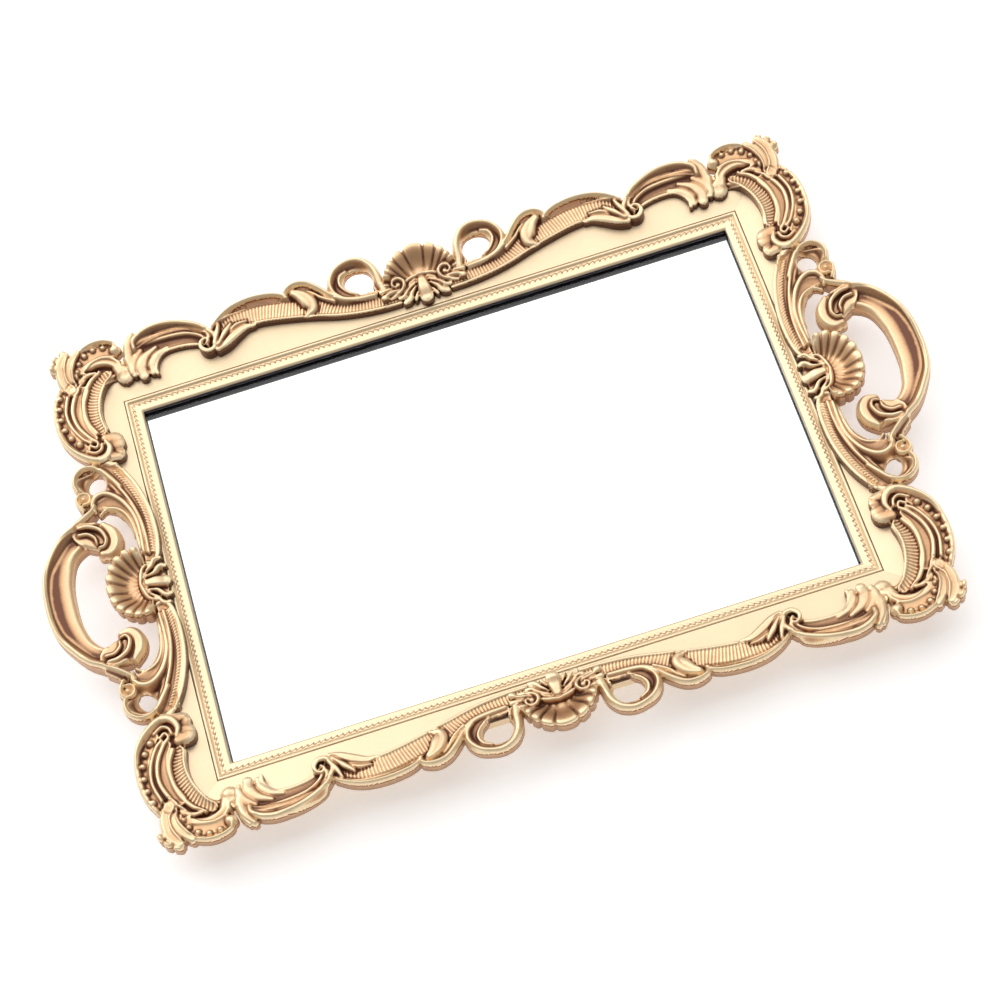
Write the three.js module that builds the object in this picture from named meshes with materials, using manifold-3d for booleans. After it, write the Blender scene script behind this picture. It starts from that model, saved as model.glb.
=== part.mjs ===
// Dresser vanity tray: a gilt baroque frame with two loop handles round a rectangular mirror.
// Millimetres, +Z up, origin on the table under the middle of the tray, X from handle to handle.
// One quarter of the ornament is drawn in the quarter x > 0, y > 0 and mirrored into the others.
import * as THREE from "three";
import { ConvexGeometry } from "three/addons/geometries/ConvexGeometry.js";
import { mergeVertices } from "three/addons/utils/BufferGeometryUtils.js";
import Module from "manifold-3d";

const wasm = await Module();
wasm.setup();

// ---- driving dimensions ----
const SIGHT_X = 135; // half length of the sight opening, the part of the mirror that shows
const SIGHT_Y = 90; // half width of the sight opening
const CLEAR = 0.3; // gap between neighbouring solids

const FOOT_HEIGHT = 2.2; // rubber feet lift the board off the table
const FOOT_RADIUS = 6;
const BACK_Z = 2; // underside of the frame
const BOARD_Z = FOOT_HEIGHT + CLEAR;
const BOARD_THICK = 2.5;
const LINER_THICK = 0.7;
const GLASS_THICK = 3;
const LINER_Z = BOARD_Z + BOARD_THICK + CLEAR;
const GLASS_Z = LINER_Z + LINER_THICK + CLEAR;
const LIP_Z = GLASS_Z + GLASS_THICK + CLEAR; // underside of the lip that holds the mirror

// Distances outward from the sight opening.
const GLASS_COVER = 5; // mirror under the lip
const REBATE = 5.5; // wall of the mirror's rebate
const BOARD_COVER = 9.5;
const BOARD_RECESS = 9.9;
const SCREW_LINE = 7.6;
const MOULDING_WIDTH = 7;
const BACK_WALL = 13; // outer wall of the frame's back ring

// The dished field rises outward, and the ornament's crests rise faster.
const FIELD_Z = 12.1; // height of the field's plane over the sight opening's edge
const FIELD_SLOPE = 0.2;
const FIELD_THICK = 4.5;
const COVE_DEPTH = 3.6; // hollows of the ornament stand this far over the field
const SKIRT_DROP = 3; // ornament outside the field reaches this far below its plane
const CREST_Z = 15.1;
const CREST_SLOPE = 0.29;
const TOP_Z = 26.5;

// The field's outer edge: a rectangle with eared corners, and long sides that step in at the middle.
const FIELD_X = 148.5;
const FIELD_Y = 114;
const MIDDLE_Y = 111;
const MIDDLE_X = 45;
const MIDDLE_RAMP = 12;
const EAR_X = 157;
const EAR_Y = 66;
const EAR_RAMP = 9;

const GILT = { color: 0xd9b27c, roughness: 0.38, metalness: 0.75 };
const GILT_FIELD = { color: 0xe8c896, roughness: 0.42, metalness: 0.7 };
const SILVERED = { color: 0xf2f4f5, roughness: 0.03, metalness: 1.0 };
const FOAM = { color: 0xf1efe9, roughness: 0.95, metalness: 0 };
const HARDBOARD = { color: 0x6b4a31, roughness: 0.8, metalness: 0 };
const ZINC = { color: 0xb9bcc0, roughness: 0.35, metalness: 1.0 };
const RUBBER = { color: 0x2b2b2d, roughness: 0.85, metalness: 0 };

// ---- solids ----
function solidOf(geometry) {
  const bare = new THREE.BufferGeometry();
  bare.setAttribute("position", geometry.getAttribute("position"));
  bare.setIndex(geometry.index);
  const merged = mergeVertices(bare, 1e-3);
  return new wasm.Manifold(
    new wasm.Mesh({
      numProp: 3,
      vertProperties: merged.attributes.position.array,
      triVerts: new Uint32Array(merged.index.array),
    }),
  );
}

function geometryOf(solid) {
  const mesh = solid.getMesh();
  const geometry = new THREE.BufferGeometry();
  geometry.setAttribute("position", new THREE.BufferAttribute(mesh.vertProperties, 3));
  geometry.setIndex(new THREE.BufferAttribute(mesh.triVerts, 1));
  geometry.computeVertexNormals();
  return geometry;
}

// A straight prism on an outline of Vector2 points, from one height to another.
function prism(outline, bottom, top, hole) {
  const shape = new THREE.Shape(outline);
  if (hole) shape.holes.push(new THREE.Path(hole));
  const body = new THREE.ExtrudeGeometry(shape, { depth: top - bottom, bevelEnabled: false });
  return solidOf(body.translate(0, 0, bottom));
}

function rectangle(halfX, halfY) {
  return [
    new THREE.Vector2(halfX, halfY),
    new THREE.Vector2(-halfX, halfY),
    new THREE.Vector2(-halfX, -halfY),
    new THREE.Vector2(halfX, -halfY),
  ];
}

// A rectangular ring between two distances from the sight opening.
function ring(inner, outer, bottom, top) {
  const outline = rectangle(SIGHT_X + outer, SIGHT_Y + outer);
  return prism(outline, bottom, top, rectangle(SIGHT_X + inner, SIGHT_Y + inner));
}

// Everything over a dished surface that rises outward from the sight opening on all four sides.
function dishAbove(edgeZ, slope) {
  const reach = 80;
  const top = 60;
  const corners = [];
  for (const z of [edgeZ - slope * reach, top]) {
    const spread = (z - edgeZ) / slope;
    for (const p of rectangle(SIGHT_X + spread, SIGHT_Y + spread)) {
      corners.push(new THREE.Vector3(p.x, p.y, z));
    }
  }
  return solidOf(new ConvexGeometry(corners));
}

const distanceOut = (x, y) => Math.max(Math.abs(x) - SIGHT_X, Math.abs(y) - SIGHT_Y);
const fieldZ = (x, y) => FIELD_Z + FIELD_SLOPE * distanceOut(x, y);
const crestZ = (x, y) => Math.min(TOP_Z, CREST_Z + CREST_SLOPE * distanceOut(x, y));

// ---- outlines ----
const points2 = (list) => list.map(([x, y]) => new THREE.Vector2(x, y));

// A closed smooth outline through a few points.
function smooth(list, perPoint = 4) {
  const through = list.map(([x, y]) => new THREE.Vector3(x, y, 0));
  const curve = new THREE.CatmullRomCurve3(through, true, "centripetal");
  const sampled = curve.getPoints(list.length * perPoint).slice(0, -1);
  return sampled.map((p) => new THREE.Vector2(p.x, p.y));
}

// The same outline moved outward, for the gap to a neighbour.
function grown(outline, by) {
  const side = THREE.ShapeUtils.isClockWise(outline) ? -1 : 1;
  return outline.map((p, i) => {
    const before = outline[(i + outline.length - 1) % outline.length];
    const after = outline[(i + 1) % outline.length];
    const along = after.clone().sub(before).normalize();
    return new THREE.Vector2(p.x + side * by * along.y, p.y - side * by * along.x);
  });
}

// A fan of rounded lobes round a point, closed along a straight foot.
function fan(centre, radius, middle, spread, lobes, footDepth) {
  const outline = [];
  const perLobe = 4;
  for (let i = 0; i <= lobes * perLobe; i += 1) {
    const share = i / (lobes * perLobe);
    const angle = middle + spread * (2 * share - 1);
    const bulge = Math.abs(Math.sin(Math.PI * lobes * share));
    const r = radius * (0.92 + 0.08 * Math.sqrt(bulge));
    outline.push(new THREE.Vector2(centre[0] + r * Math.cos(angle), centre[1] + r * Math.sin(angle)));
  }
  const back = new THREE.Vector2(-Math.cos(middle), -Math.sin(middle)).multiplyScalar(footDepth);
  outline.push(outline.at(-1).clone().lerp(outline[0], 0.3).add(back));
  outline.push(outline[0].clone().lerp(outline.at(-2), 0.3).add(back));
  return outline;
}

// ---- lofted bars ----
// A solid through equal closed sections, with flat ends.
function loft(sections) {
  const count = sections[0].length;
  const positions = sections.flat().flatMap((p) => [p.x, p.y, p.z]);
  const index = [];
  for (let s = 0; s + 1 < sections.length; s += 1) {
    for (let i = 0; i < count; i += 1) {
      const a = s * count + i;
      const b = s * count + ((i + 1) % count);
      index.push(a, b + count, b, a, a + count, b + count);
    }
  }
  const last = (sections.length - 1) * count;
  for (let i = 1; i + 1 < count; i += 1) {
    index.push(0, i, i + 1);
    index.push(last, last + i + 1, last + i);
  }
  const geometry = new THREE.BufferGeometry();
  geometry.setAttribute("position", new THREE.Float32BufferAttribute(positions, 3));
  geometry.setIndex(index);
  return solidOf(geometry);
}

// A section's points lie (across, height): across is measured to the right of the path.
function sweep(path, stations, sectionAt) {
  const curve = new THREE.CatmullRomCurve3(
    path.map(([x, y]) => new THREE.Vector3(x, y, 0)),
    false,
    "centripetal",
  );
  const sections = [];
  for (let s = 0; s <= stations; s += 1) {
    const at = curve.getPointAt(s / stations);
    const along = curve.getTangentAt(s / stations);
    const section = sectionAt(s / stations, at);
    sections.push(
      section.map(([across, z]) => {
        return new THREE.Vector3(at.x + across * along.y, at.y - across * along.x, z);
      }),
    );
  }
  return loft(sections);
}

// A rounded crest that stands on the ornament and dies down at both ends.
function crest(path, halfWidth, stations = 10) {
  return sweep(path, stations, (share, at) => {
    const fade = Math.min(1, 4 * Math.min(share, 1 - share) + 0.35);
    const w = halfWidth * fade;
    const top = crestZ(at.x, at.y) - 2.5 * (1 - fade);
    const bottom = fieldZ(at.x, at.y) + CLEAR + 0.5;
    return [
      [-w, bottom],
      [w, bottom],
      [w, top - 1.4],
      [0, top],
      [-w, top - 1.4],
    ];
  });
}

// ---- the frame ----
const fieldOutline = (grow) => {
  const quarter = [
    [FIELD_X + grow, 0],
    [FIELD_X + grow, EAR_Y - EAR_RAMP - grow],
    [EAR_X + grow, EAR_Y - grow],
    [EAR_X + grow, FIELD_Y + grow],
    [MIDDLE_X + MIDDLE_RAMP + grow, FIELD_Y + grow],
    [MIDDLE_X + grow, MIDDLE_Y + grow],
  ];
  const right = [...quarter.slice(1).map(([x, y]) => [x, -y]).reverse(), ...quarter];
  const left = right.map(([x, y]) => [-x, y]).reverse();
  return points2([...right, ...left]);
};

const overField = dishAbove(FIELD_Z, FIELD_SLOPE);
const underField = dishAbove(FIELD_Z - FIELD_THICK, FIELD_SLOPE);
const mouldingHole = ring(-40, MOULDING_WIDTH + CLEAR, LIP_Z - CLEAR, TOP_Z);

const screwPlaces = [];
for (const y of [-1, 1]) {
  for (const x of [-1, 0, 1]) screwPlaces.push([x * 110, y * (SIGHT_Y + SCREW_LINE)]);
}
screwPlaces.push([-SIGHT_X - SCREW_LINE, 0], [SIGHT_X + SCREW_LINE, 0]);

function turned(profile, segments = 10) {
  const lathe = new THREE.LatheGeometry(points2(profile), segments);
  return lathe.rotateX(Math.PI / 2);
}

const SHANK_RADIUS = 1.2;
const SCREW_HEAD_RADIUS = 2.0;
const SCREW_TIP_Z = 8.6;
const screwProfile = [
  [0, 0.9],
  [1.2, 0.95],
  [SCREW_HEAD_RADIUS, 1.5],
  [SCREW_HEAD_RADIUS, BOARD_Z - CLEAR],
  [SHANK_RADIUS, BOARD_Z - CLEAR],
  [SHANK_RADIUS, SCREW_TIP_Z - 1.4],
  [0, SCREW_TIP_Z],
];
const HOLE_RADIUS = SHANK_RADIUS + CLEAR;
const holeProfile = [
  [0, 0],
  [HOLE_RADIUS, 0],
  [HOLE_RADIUS, SCREW_TIP_Z + CLEAR],
  [0, SCREW_TIP_Z + CLEAR],
];

function drilled(body) {
  return screwPlaces.reduce((rest, [x, y]) => {
    return rest.subtract(solidOf(turned(holeProfile, 8).translate(x, y, 0)));
  }, body);
}

function frameBase() {
  const openField = rectangle(SIGHT_X + MOULDING_WIDTH + CLEAR, SIGHT_Y + MOULDING_WIDTH + CLEAR);
  const field = prism(fieldOutline(0), 0, TOP_Z, openField)
    .intersect(underField)
    .subtract(overField);
  const backRing = ring(REBATE, BACK_WALL, BACK_Z, FIELD_Z + 1).subtract(mouldingHole);
  const boardRecess = prism(
    rectangle(SIGHT_X + BOARD_RECESS, SIGHT_Y + BOARD_RECESS),
    0,
    BOARD_Z + BOARD_THICK + CLEAR,
  );
  return drilled(field.add(backRing).subtract(boardRecess));
}

// The sight moulding's section: distance out from the opening and height.
const mouldingSection = [
  [0, LIP_Z],
  [MOULDING_WIDTH, LIP_Z],
  [MOULDING_WIDTH, 13.9],
  [5.9, 14.2],
  [5.4, 13.4],
  [4.2, 13.6],
  [1.4, 12.9],
  [0.5, 12.2],
  [0, 11.4],
];

function sightMoulding() {
  const positions = [];
  const index = [];
  const count = mouldingSection.length;
  for (const [sx, sy] of [[1, 1], [-1, 1], [-1, -1], [1, -1]]) {
    for (const [out, z] of mouldingSection) {
      positions.push(sx * (SIGHT_X + out), sy * (SIGHT_Y + out), z);
    }
  }
  for (let c = 0; c < 4; c += 1) {
    for (let i = 0; i < count; i += 1) {
      const a = c * count + i;
      const b = c * count + ((i + 1) % count);
      const far = ((c + 1) % 4) * count - c * count;
      index.push(a, b + far, b, a, a + far, b + far);
    }
  }
  const geometry = new THREE.BufferGeometry();
  geometry.setAttribute("position", new THREE.Float32BufferAttribute(positions, 3));
  geometry.setIndex(index);
  return solidOf(geometry);
}

// ---- the ornament, one quarter ----
// The field and the moulding with the gap round them, which every ornament sits over and beside.
const fieldBlock = prism(fieldOutline(CLEAR), 0, TOP_Z + 5)
  .subtract(dishAbove(FIELD_Z + CLEAR, FIELD_SLOPE))
  .add(ring(-40, MOULDING_WIDTH + CLEAR, 0, TOP_Z + 5));
const overCoves = dishAbove(FIELD_Z + COVE_DEPTH, FIELD_SLOPE);
const overSkirt = dishAbove(FIELD_Z - SKIRT_DROP, FIELD_SLOPE);

// A web of shallow relief with crests standing on it, cut to one outline.
function ornament(outline, crests, neighbours = [], holes = []) {
  const full = prism(outline, 0, TOP_Z + 5);
  let body = full.intersect(overSkirt).subtract(overCoves);
  for (const bar of crests) body = body.add(bar);
  body = body.intersect(full).subtract(fieldBlock);
  for (const hole of holes) body = body.subtract(prism(hole, 0, TOP_Z + 5));
  for (const other of neighbours) body = body.subtract(prism(grown(other, CLEAR), 0, TOP_Z + 5));
  return body;
}

const CREST_SHELL_CENTRE = [0, 107];
const crestShellOutline = fan(CREST_SHELL_CENTRE, 22.5, Math.PI / 2, 1.72, 9, 6.5);

const garlandOutline = smooth([
  [10, 102.5], [13, 100.2], [25, 100.4], [35, 102], [46, 105], [57, 108.4], [66, 111], [74, 112.2],
  [80, 110.8], [90, 106], [96.5, 103.2], [102.6, 106], [104.2, 111], [109, 112.8], [115, 113],
  [121, 110], [123.6, 104.4], [128, 101.6], [133.5, 103], [135, 109], [136, 116], [137, 122],
  [134, 127.2], [129, 126], [121, 128.8], [112, 127.2], [104, 124], [96.5, 118.2], [91, 122],
  [84, 125.6], [75, 127.3], [66, 126.2], [60.5, 124], [56.5, 128.2], [51, 127.3], [46, 121],
  [41.2, 120], [38.5, 126], [32, 130.7], [25, 131], [20.5, 127], [18.5, 120], [15, 110],
], 2);
const ringHole = smooth([[21.8, 117], [24, 112.6], [29, 112.4], [31.4, 117], [29.6, 122], [24.4, 122.6]], 3);
const garlandCrests = [
  crest([[20, 123], [26, 127.5], [32, 127], [36.5, 122], [36.5, 115.5], [31, 110], [20, 107.5]], 2.6, 12),
  crest([[12, 102], [18, 101.9], [30, 103], [45, 106.6], [58, 110.6], [68, 113.2], [78, 113.2]], 1.7, 9),
  crest([[33, 109.5], [41, 115], [46, 121.5], [51, 125.8], [56, 125.2], [59, 121.5]], 1.9, 9),
  crest([[59, 119.5], [66, 123.6], [75, 124.9], [84, 123.3], [90, 120], [94, 116]], 2, 7),
  crest([[78, 112.6], [84, 111.4], [92, 107.6], [97.5, 105.2], [101, 107.6], [98.5, 110.6]], 1.8, 9),
  crest([[97, 111], [98.6, 116.5], [105, 121.7], [113, 124.9], [121, 126.3], [128, 124]], 2, 8),
  crest([[103, 111.5], [108, 113.8], [115, 114.6], [121, 112.4], [125, 107.5], [127, 104]], 1.5, 8),
  crest([[128, 126], [132, 121], [133, 114], [131, 107]], 1.8, 5),
];

const cartoucheOutline = smooth([
  [137, 101], [141, 99.8], [147, 102], [151.5, 97], [153.4, 90], [153.4, 82], [149, 80.8],
  [145.6, 76], [146, 70], [148.2, 64], [152, 61.6], [158.5, 62.8], [165, 66], [169.5, 73],
  [172.6, 82], [173.6, 91], [172, 102], [168.4, 110.5], [168.6, 118], [168, 126], [160.5, 127],
  [154, 129], [147, 129], [141.5, 126.5], [138.3, 120], [136.8, 111],
], 2);
const cartoucheCrests = [
  crest([[140, 120], [144.5, 125], [151, 126.5], [157, 124.5], [161, 119]], 2.6, 8),
  crest([[138.5, 108], [142, 114.5], [147.5, 117.5], [152, 116.5]], 1.8, 6),
  crest([[142, 106], [149, 104], [154.5, 98], [156.8, 89], [155.5, 80]], 1.5, 7),
  crest([[152, 110], [158.5, 104], [161.8, 95], [161.6, 85], [157.5, 75]], 1.6, 7),
  crest([[159, 124], [163, 117], [163, 109], [159, 104]], 1.8, 6),
  crest([[166, 108], [169.6, 99], [170.6, 90], [168.8, 80], [164, 71], [156.5, 65.5]], 2.4, 9),
  crest([[148.5, 77.5], [149, 71], [153.5, 67], [160, 70], [163, 77]], 1.9, 8),
  crest([[160, 125], [165.5, 125.5], [166, 118]], 1.6, 4),
];
const BEAD_RADIUS = 1.5;
const beadPlaces = [
  [144.8, 121.6], [149.6, 123], [154.6, 121.4], [158, 117.6],
  [167.6, 101], [168.4, 94.6], [168, 88], [166.4, 81.6], [163.4, 75.6],
];

function bead(x, y) {
  const ball = new THREE.SphereGeometry(BEAD_RADIUS, 6, 4);
  return solidOf(ball.translate(x, y, crestZ(x, y) - 1.2));
}

const SIDE_SHELL_CENTRE = [150.5, 0];
const sideShellOutline = fan(SIDE_SHELL_CENTRE, 20, 0, 1.72, 9, 6);

const sideScrollOutline = smooth([
  [140.8, 20], [141.6, 12.6], [147, 9.2], [152.6, 12], [153.8, 18], [158, 22.5], [162, 27],
  [165.5, 36], [166.5, 44], [172, 50.5], [172.6, 57], [168.4, 63], [161, 62.3], [153, 59.6],
  [147.5, 59], [144, 50], [141.6, 38], [140.8, 28],
], 2);
const crescentHole = smooth([[150, 25], [153.5, 28.5], [157, 36], [157.5, 40], [153.6, 38], [150.6, 32]], 3);
const loopHole = smooth([[158.8, 55], [161, 51.8], [164, 53], [165, 56.4], [162.8, 59.2], [159.6, 58.4]], 3);
const sideScrollCrests = [
  crest([[151.6, 14.6], [147.4, 11.6], [143.6, 15.5], [142.9, 27], [144.4, 40], [148.5, 51], [155.5, 60]], 1.7, 11),
  crest([[149.6, 20], [148.6, 30], [150.8, 38.5], [155.5, 44.5], [161, 46], [165, 41]], 1.6, 9),
  crest([[151, 48], [156, 55.5], [162, 61], [168, 60], [170.6, 55], [167, 50.5]], 1.9, 9),
];

// ---- the handles ----
const HANDLE_REACH = 191; // middle of the grip
const HANDLE_HALF_WIDTH = 5.5;
const gripPath = [
  [163, 35], [170, 34.6], [177, 31.8], [183, 26], [187.6, 17.5], [190.2, 8], [HANDLE_REACH, 0],
];
const gripSection = [
  [1, 18.4],
  [1, 25.4],
  [0.76, TOP_Z],
  [0.52, 23.2],
  [0.2, 22.9],
  [-0.55, 20.4],
  [-1, 17.6],
  [-1, 13.8],
];
const huskOutline = smooth([[157.5, 26], [163.5, 23], [169, 25.6], [171.8, 31], [168.5, 37.6], [160.6, 37]], 3);
const volutePlace = [171.2, 44.4];
const VOLUTE_RADIUS = 5.4;

function handle() {
  const mirrored = gripPath.slice(0, -1).map(([x, y]) => [x, -y]);
  const path = [...mirrored, ...gripPath.slice().reverse()];
  // The path runs towards +Y, so the right-hand side of it is the outside of the grip.
  const bar = sweep(path, 28, () => {
    return gripSection.map(([across, z]) => [across * HANDLE_HALF_WIDTH, z]);
  });
  let body = bar;
  for (const side of [-1, 1]) {
    const husk = huskOutline.map((p) => new THREE.Vector2(p.x, side * p.y));
    const volute = new THREE.EllipseCurve(volutePlace[0], side * volutePlace[1], VOLUTE_RADIUS, VOLUTE_RADIUS);
    const disc = volute.getPoints(14).slice(0, -1);
    body = body.add(prism(husk, 14.5, 22)).add(prism(disc, 17, 25));
    const neck = points2([[170, 34], [177, 32], [175.5, 42], [168, 42]].map(([x, y]) => [x, side * y]));
    body = body.add(prism(neck, 17, 24.4));
    const scroll = sideScrollOutline.map((p) => new THREE.Vector2(p.x, side * p.y));
    body = body.subtract(prism(grown(scroll, CLEAR), 0, 40));
  }
  return body.subtract(prism(grown(sideShellOutline, CLEAR), 0, 40));
}

// ---- assembly ----
const tray = new THREE.Group();

function place(name, solid, look, scale = [1, 1]) {
  const geometry = solid.isBufferGeometry ? solid : geometryOf(solid);
  const mesh = new THREE.Mesh(geometry, new THREE.MeshStandardMaterial(look));
  mesh.name = name;
  mesh.scale.set(scale[0], scale[1], 1);
  tray.add(mesh);
  return mesh;
}

function slab(halfX, halfY, bottom, thick) {
  return prism(rectangle(halfX, halfY), bottom, bottom + thick);
}

place("frame_base", frameBase(), GILT_FIELD);
place("sight_moulding", sightMoulding(), GILT);
place("mirror_glass", slab(SIGHT_X + GLASS_COVER, SIGHT_Y + GLASS_COVER, GLASS_Z, GLASS_THICK), SILVERED);
place("mirror_liner", slab(SIGHT_X + GLASS_COVER, SIGHT_Y + GLASS_COVER, LINER_Z, LINER_THICK), FOAM);
place(
  "back_board",
  drilled(slab(SIGHT_X + BOARD_COVER, SIGHT_Y + BOARD_COVER, BOARD_Z, BOARD_THICK)),
  HARDBOARD,
);

const garland = geometryOf(ornament(garlandOutline, garlandCrests, [crestShellOutline], [ringHole]));
const cartouche = geometryOf(
  beadPlaces
    .reduce((body, [x, y]) => body.add(bead(x, y)), ornament(cartoucheOutline, cartoucheCrests))
    .subtract(prism(grown(garlandOutline, CLEAR), 0, 40)),
);
const sideScroll = geometryOf(
  ornament(sideScrollOutline, sideScrollCrests, [cartoucheOutline, sideShellOutline], [crescentHole, loopHole]),
);
const quarters = { front_left: [-1, -1], front_right: [1, -1], back_left: [-1, 1], back_right: [1, 1] };
for (const [where, sides] of Object.entries(quarters)) {
  place(`corner_cartouche_${where}`, cartouche, GILT, sides);
  place(`garland_${where}`, garland, GILT, sides);
  place(`side_scroll_${where}`, sideScroll, GILT, sides);
}

// A shell's ribs spread from its foot.
function shellRibs(centre, radius, middle, spread, lobes) {
  const ribs = [];
  for (let i = 0; i < lobes; i += 1) {
    const angle = middle + spread * ((2 * i + 1) / lobes - 1);
    const at = (r) => [centre[0] + r * Math.cos(angle), centre[1] + r * Math.sin(angle)];
    ribs.push(crest([at(3), at(radius * 0.5), at(radius * 0.93)], 1.6, 4));
  }
  return ribs;
}
const crestShell = geometryOf(
  ornament(crestShellOutline, shellRibs(CREST_SHELL_CENTRE, 22.5, Math.PI / 2, 1.72, 9)),
);
const sideShell = geometryOf(
  ornament(sideShellOutline, shellRibs(SIDE_SHELL_CENTRE, 20, 0, 1.72, 9)),
);
const grip = geometryOf(handle());
place("crest_shell_front", crestShell, GILT, [1, -1]);
place("crest_shell_back", crestShell, GILT);
place("side_shell_left", sideShell, GILT, [-1, 1]);
place("side_shell_right", sideShell, GILT);
place("handle_left", grip, GILT, [-1, 1]);
place("handle_right", grip, GILT);

const screw = turned(screwProfile);
screwPlaces.forEach(([x, y], i) => {
  place(`board_screw_${i + 1}`, screw, ZINC).position.set(x, y, 0);
});

const foot = turned([
  [0, 0],
  [FOOT_RADIUS - 1.2, 0],
  [FOOT_RADIUS - 0.3, 0.6],
  [FOOT_RADIUS, FOOT_HEIGHT],
  [0, FOOT_HEIGHT],
], 16);
let footNumber = 0;
for (const y of [-76, 76]) {
  for (const x of [-118, 0, 118]) {
    footNumber += 1;
    place(`rubber_foot_${footNumber}`, foot, RUBBER).position.set(x, y, 0);
  }
}

export default tray;
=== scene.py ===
import math

import bpy
import numpy as np
from mathutils import Matrix, Vector


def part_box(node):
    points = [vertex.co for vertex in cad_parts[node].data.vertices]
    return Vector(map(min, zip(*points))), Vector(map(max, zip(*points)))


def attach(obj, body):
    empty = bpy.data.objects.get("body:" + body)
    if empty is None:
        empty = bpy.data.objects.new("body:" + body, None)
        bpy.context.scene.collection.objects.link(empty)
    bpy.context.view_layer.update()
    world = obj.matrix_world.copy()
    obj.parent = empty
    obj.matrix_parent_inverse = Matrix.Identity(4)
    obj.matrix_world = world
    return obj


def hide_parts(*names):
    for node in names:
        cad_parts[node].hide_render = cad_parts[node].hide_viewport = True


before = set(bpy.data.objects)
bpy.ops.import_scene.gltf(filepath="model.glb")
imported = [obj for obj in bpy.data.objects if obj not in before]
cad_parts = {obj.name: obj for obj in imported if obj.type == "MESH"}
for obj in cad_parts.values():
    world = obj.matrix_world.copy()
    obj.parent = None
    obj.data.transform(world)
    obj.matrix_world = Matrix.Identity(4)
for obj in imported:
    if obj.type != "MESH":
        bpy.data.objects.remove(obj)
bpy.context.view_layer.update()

MM = 0.001
STEP = 0.29  # spacing of the relief grid
SIGHT_X = 135.0  # half length of the sight opening
SIGHT_Y = 90.0  # half width of the sight opening
FIELD_Z = 12.1  # height of the dished field's plane at the opening
FIELD_SLOPE = 0.2  # how fast the field rises outward
EMPTY = -60.0  # height where nothing is drawn yet
MELT = 0.4  # strokes nearer in height than this run into each other
GROUND_RISE = 1.0  # the web between strokes stands this far over the field
EDGE_BEND = 0.5  # rounding of an outline that lies on the field
FREE_EDGE_BEND = 2.2  # rounding of an outline that hangs past the field

# Cross-sections of a stroke: (place across from -1 to 1, height against the stroke's crest).
# ROUND is a half circle, scaled by the stroke's half width; the others are in millimetres.
ROUND = [(v, math.sqrt(max(0.0, 1 - v * v)) - 1) for v in np.linspace(-1, 1, 17)]
BAND = [(-1, 0), (-0.85, 0), (-0.74, -0.55), (0, -0.25), (0.7, 0.15), (0.85, -0.5), (1, -0.7)]
COVE = [(-1, 0.3), (-0.5, -0.35), (0, -0.6), (0.5, -0.35), (1, 0.3)]
RIBBON = [(-1, 0.25), (-0.8, 0.3), (-0.45, -0.35), (0, -0.45), (0.5, -0.1), (0.85, -0.3), (1, -0.9)]
LOBE = [(-1, -1.2), (-0.8, -0.55), (-0.45, -0.12), (0, 0), (0.45, -0.12), (0.8, -0.55), (1, -1.2)]
PETAL = [(-1, -1.5), (-0.85, -0.7), (-0.5, -0.1), (0, 0), (0.5, -0.1), (0.85, -0.7), (1, -1.5)]


def ramp(value, start, length):
    """0 up to the start, 1 from the start plus the length, and straight between."""
    return max(0.0, min(1.0, (value - start) / length))


def distance_out(x, y):
    return np.maximum(np.abs(x) - SIGHT_X, np.abs(y) - SIGHT_Y)


def field_height(x, y):
    return FIELD_Z + FIELD_SLOPE * distance_out(x, y)


def smooth_curve(rows, closed=False, spacing=0.45):
    """Evenly fine points along a Catmull-Rom curve through the rows."""
    rows = np.asarray(rows, float)
    if closed:
        padded = np.vstack([rows[-1], rows, rows[0], rows[1]])
    else:
        padded = np.vstack([2 * rows[0] - rows[1], rows, 2 * rows[-1] - rows[-2]])
    pieces = []
    for i in range(1, len(padded) - 2):
        a, b, c, d = padded[i - 1:i + 3]
        count = max(2, int(np.hypot(*(c - b)[:2]) / spacing) + 1)
        t = np.linspace(0, 1, count, endpoint=False)[:, None]
        bend = (2 * a - 5 * b + 4 * c - d) * t ** 2 + (3 * b - a - 3 * c + d) * t ** 3
        pieces.append(0.5 * (2 * b + (c - a) * t + bend))
    pieces.append(padded[-2][None])
    return np.vstack(pieces)


def turning(curve):
    """1 where a closed curve runs anticlockwise, -1 where it runs clockwise."""
    x, y = curve[:, 0], curve[:, 1]
    return -1 if np.sum(x[:-1] * np.diff(y) - y[:-1] * np.diff(x)) < 0 else 1


def spread_over(values, count):
    """The values stretched evenly over that many points; a single number holds for all."""
    values = np.atleast_1d(np.asarray(values, float))
    return np.interp(np.linspace(0, 1, count), np.linspace(0, 1, len(values)), values)


def blurred(grid, radius):
    """The grid smoothed with a bell of that radius in cells."""
    reach = int(2 * radius) + 1
    weights = np.exp(-0.5 * (np.arange(-reach, reach + 1) / radius) ** 2)
    weights /= weights.sum()
    for axis in (0, 1):
        pad = [(0, 0), (0, 0)]
        pad[axis] = (reach, reach)
        wide = np.pad(grid, pad, mode="edge")
        size = grid.shape[axis]
        grid = sum(w * wide.take(range(k, k + size), axis) for k, w in enumerate(weights))
    return grid


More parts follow.
